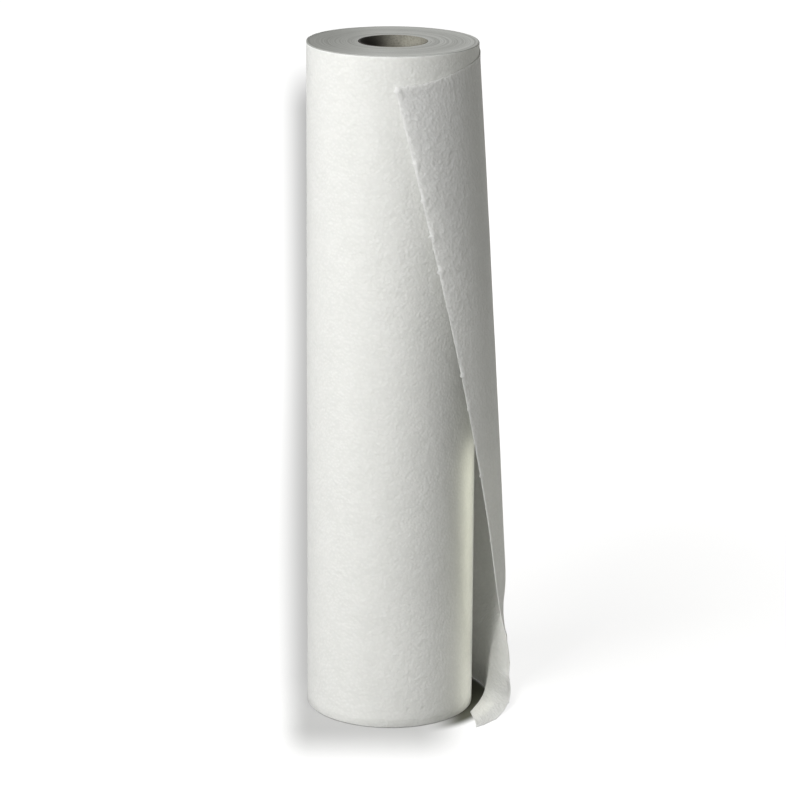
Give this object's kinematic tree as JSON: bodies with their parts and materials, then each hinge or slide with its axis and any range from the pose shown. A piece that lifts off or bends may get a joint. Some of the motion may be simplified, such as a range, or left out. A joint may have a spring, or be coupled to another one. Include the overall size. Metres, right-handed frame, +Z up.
{
  "type": "exam table paper roll",
  "caption": "Wide roll of soft white paper on a cardboard core, standing on end, with its leading sheet come loose and flared at the foot.",
  "frame": {"origin": "on the axis of the core, in the plane of the lower end on which the roll stands", "axes": "+Z up along the core's axis, +Y away from the viewer of the picture, +X towards the side where the loose sheet stands off"},
  "size_m": [0.1532, 0.1417, 0.5],
  "materials": {
    "cardboard": "matt wound board",
    "tissue": "matt, finely embossed soft paper"
  },
  "bodies": {
    "root": {"core_tube": "cardboard", "paper_roll": "tissue"}
  },
  "joints": []
}
